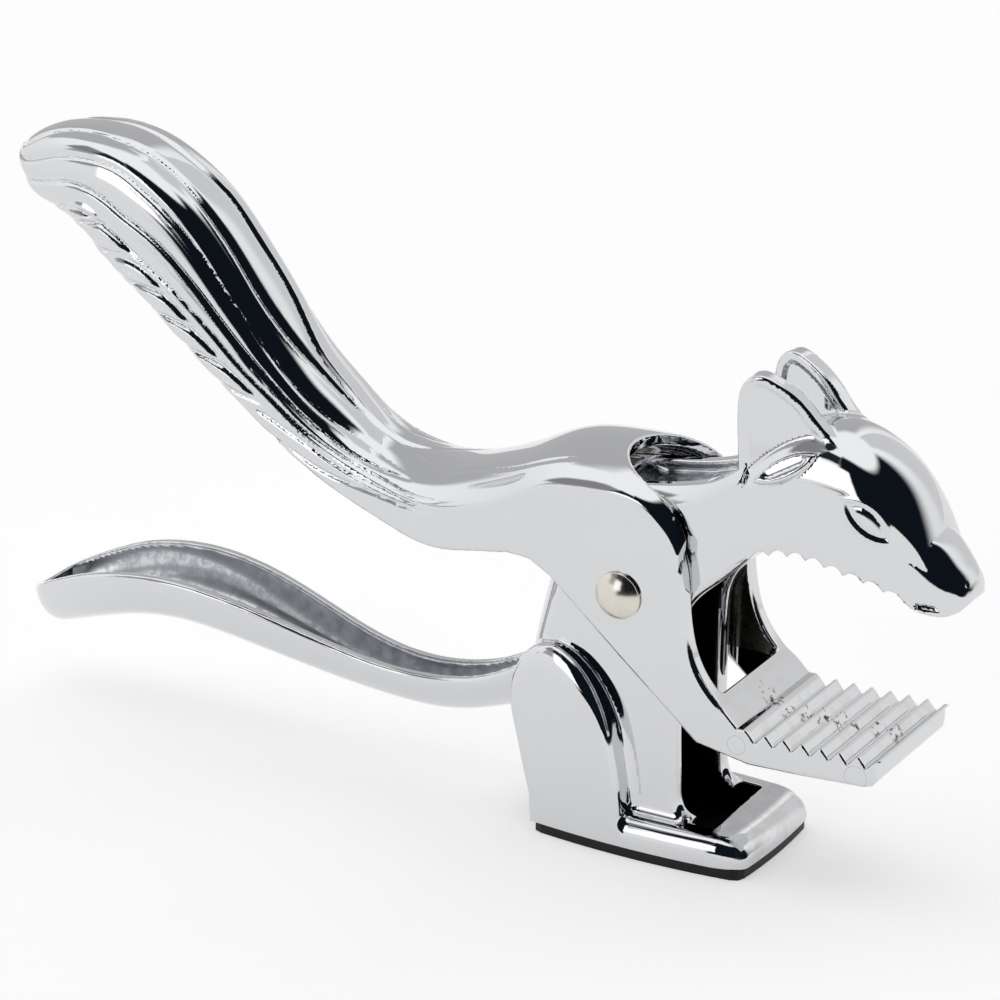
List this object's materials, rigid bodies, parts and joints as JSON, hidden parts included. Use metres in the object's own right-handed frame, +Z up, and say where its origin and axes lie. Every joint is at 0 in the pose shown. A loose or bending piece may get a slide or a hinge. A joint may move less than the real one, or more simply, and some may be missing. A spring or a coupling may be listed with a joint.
{
  "type": "lever nutcracker press",
  "caption": "Squirrel-shaped bench nutcracker press: a standing body casting carries the fixed toothed jaw, and a pivoting tail lever lifts a ribbed jaw plate.",
  "frame": {"origin": "centre of the sole's underside, on the table", "axes": "+X forward from the tail's tip towards the nose, +Y across to the squirrel's left side, +Z up"},
  "size_m": [0.202, 0.0336, 0.1171],
  "materials": {
    "body_plate": "bright chrome plate on a zinc casting",
    "lever_plate": "bright chrome plate on a zinc casting",
    "rivet_metal": "bright warm nickel plate on steel",
    "sole_rubber": "matt black"
  },
  "bodies": {
    "body": {"body_casting": "body_plate", "pivot_rivet": "rivet_metal", "foot_sole": "sole_rubber"},
    "lever": {"tail_lever": "lever_plate"}
  },
  "joints": [
    {"name": "lever_pivot", "type": "hinge", "parent": "body", "child": "lever", "pos_m": [-0.0035, 0, 0.0515], "axis": [0, -1, 0], "range_deg": [0, 28]}
  ]
}
